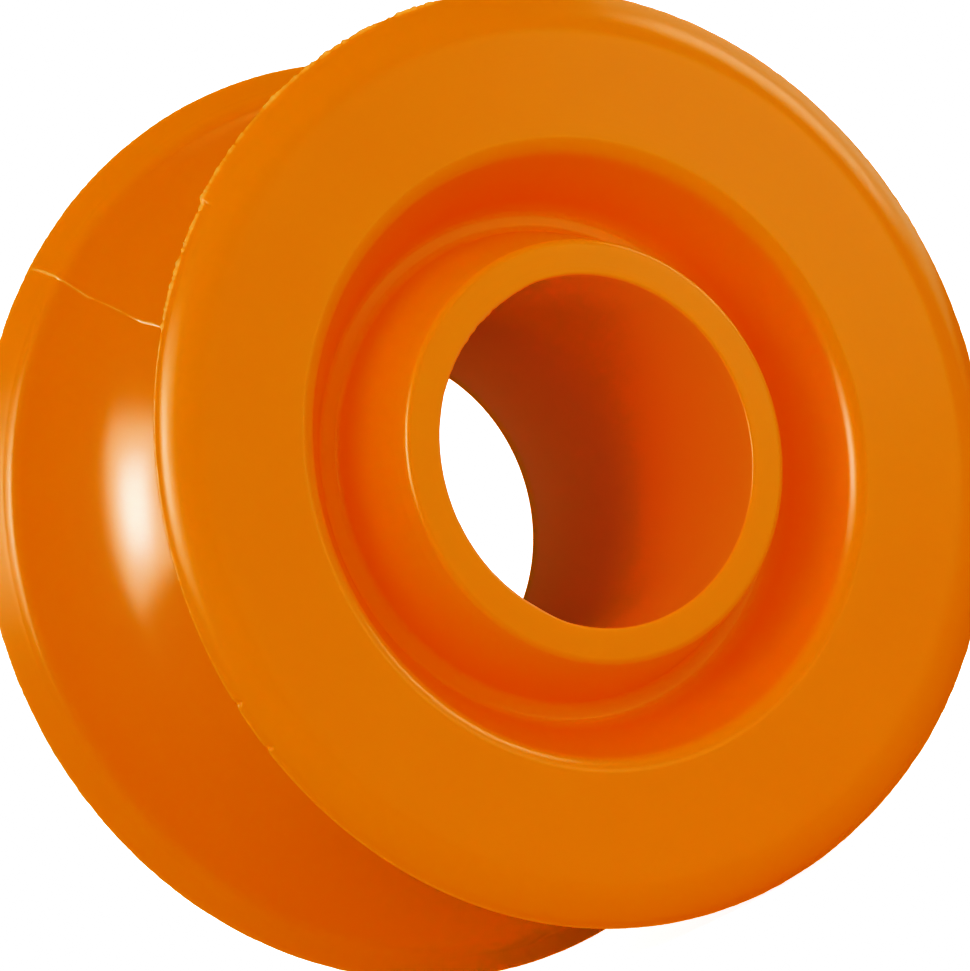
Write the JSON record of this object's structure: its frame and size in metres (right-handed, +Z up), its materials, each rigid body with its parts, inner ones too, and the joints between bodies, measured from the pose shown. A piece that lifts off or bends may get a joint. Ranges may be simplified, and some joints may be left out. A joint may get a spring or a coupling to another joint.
{
  "type": "rope pulley wheel",
  "caption": "Moulded nylon rope pulley wheel with a half-round groove, dished flange faces and a plain hub bore that turns directly on a carabiner's bar.",
  "frame": {"origin": "centre of the wheel, on the bore's axis and on the mid-plane of the rope groove", "axes": "+Y along the bore, which the wheel spins about; +Z up, with the wheel standing on its two flange rims; the side towards -Y is the front"},
  "size_m": [0.04, 0.0198, 0.04],
  "materials": {
    "orange_nylon": "glossy, slightly translucent moulded nylon"
  },
  "bodies": {
    "root": {"pulley_wheel": "orange_nylon"}
  },
  "joints": []
}
